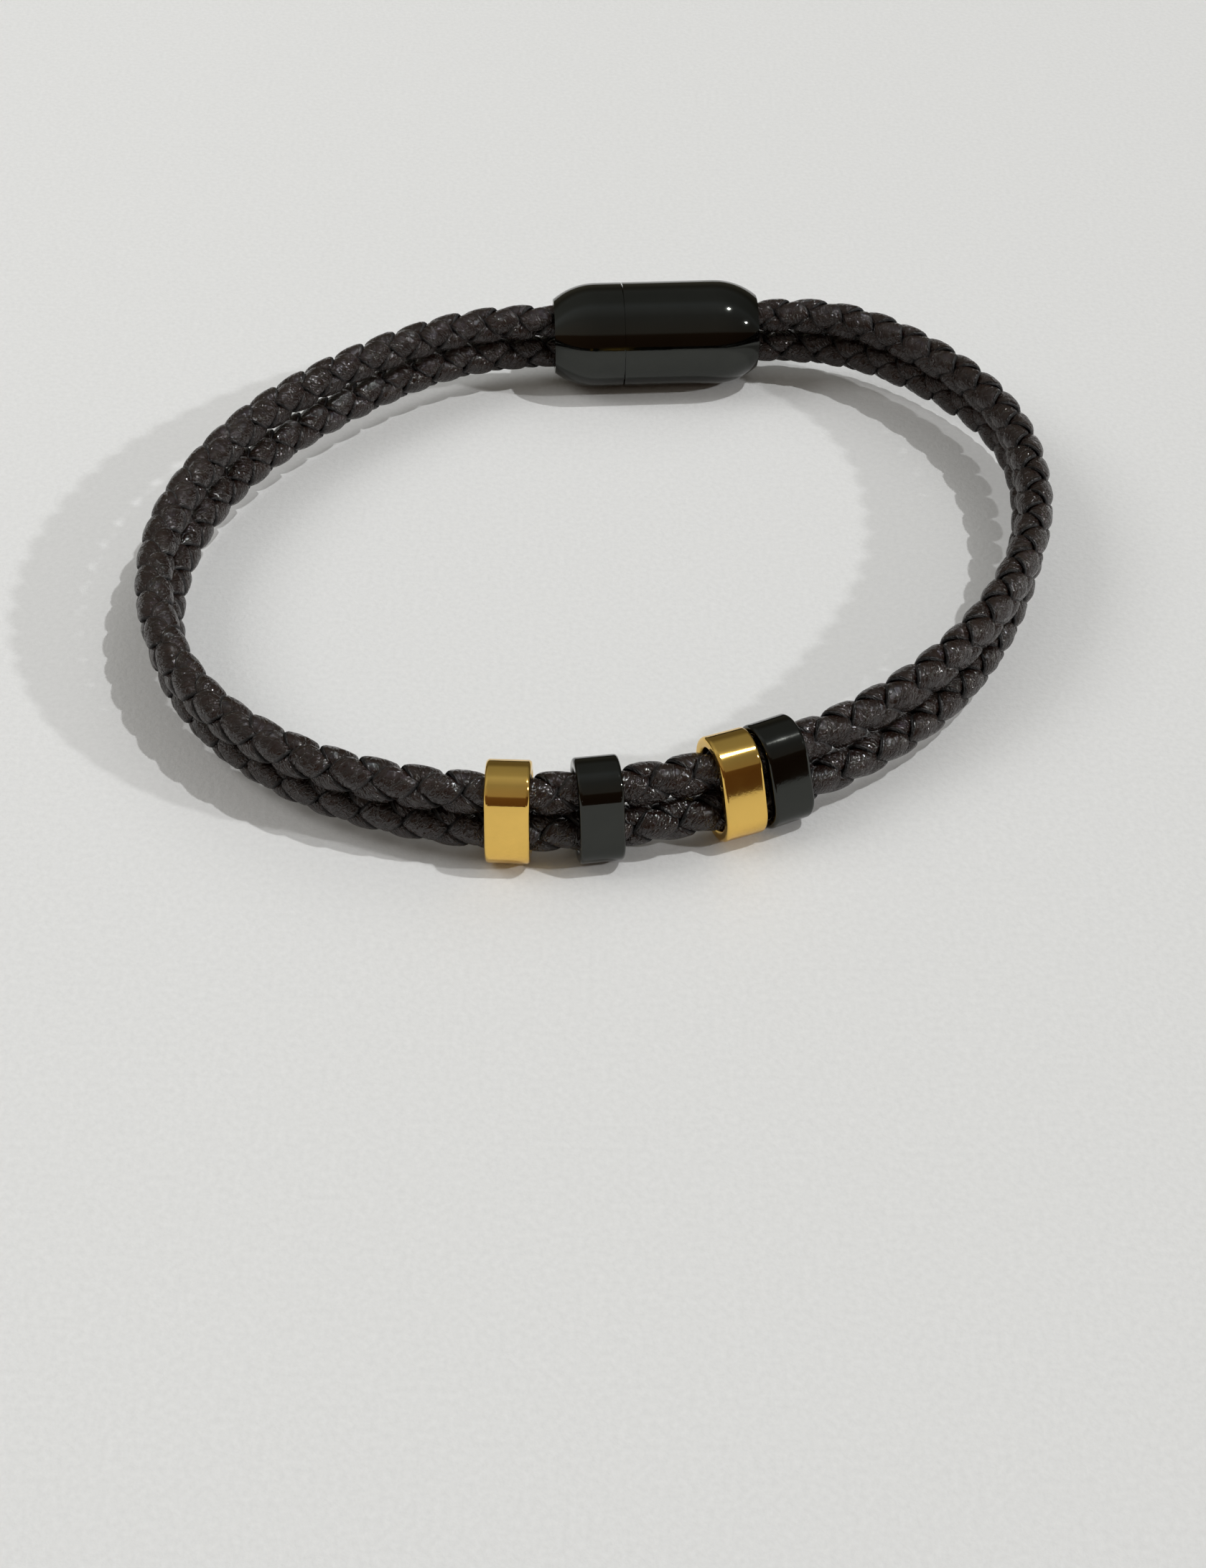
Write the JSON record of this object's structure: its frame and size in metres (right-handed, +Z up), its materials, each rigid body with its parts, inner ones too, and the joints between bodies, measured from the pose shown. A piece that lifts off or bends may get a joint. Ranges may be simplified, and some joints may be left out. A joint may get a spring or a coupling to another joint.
{
  "type": "braided leather bracelet",
  "caption": "Closed bracelet of two round braided leather cords, one above the other, with metal ring beads over both cords and a two-part barrel-shaped magnetic clasp.",
  "frame": {"origin": "middle of the bracelet's footprint, on the surface that it lies on", "axes": "+Z up, through the wrist opening; -Y towards the ring beads at the front; +X to the right seen from the front"},
  "size_m": [0.0749, 0.0722, 0.0094],
  "materials": {
    "leather": "dark brown-black creased leather with a dull sheen",
    "gold_metal": "polished gold-tone plating on steel",
    "black_metal": "polished black plating on steel"
  },
  "bodies": {
    "root": {"upper_strand_1": "leather", "upper_strand_2": "leather", "upper_strand_3": "leather", "upper_strand_4": "leather", "lower_strand_1": "leather", "lower_strand_2": "leather", "lower_strand_3": "leather", "lower_strand_4": "leather", "gold_ring_left": "gold_metal", "black_ring_left": "black_metal", "gold_ring_right": "gold_metal", "black_ring_right": "black_metal", "clasp_plug_half": "black_metal", "clasp_socket_half": "black_metal"}
  },
  "joints": []
}
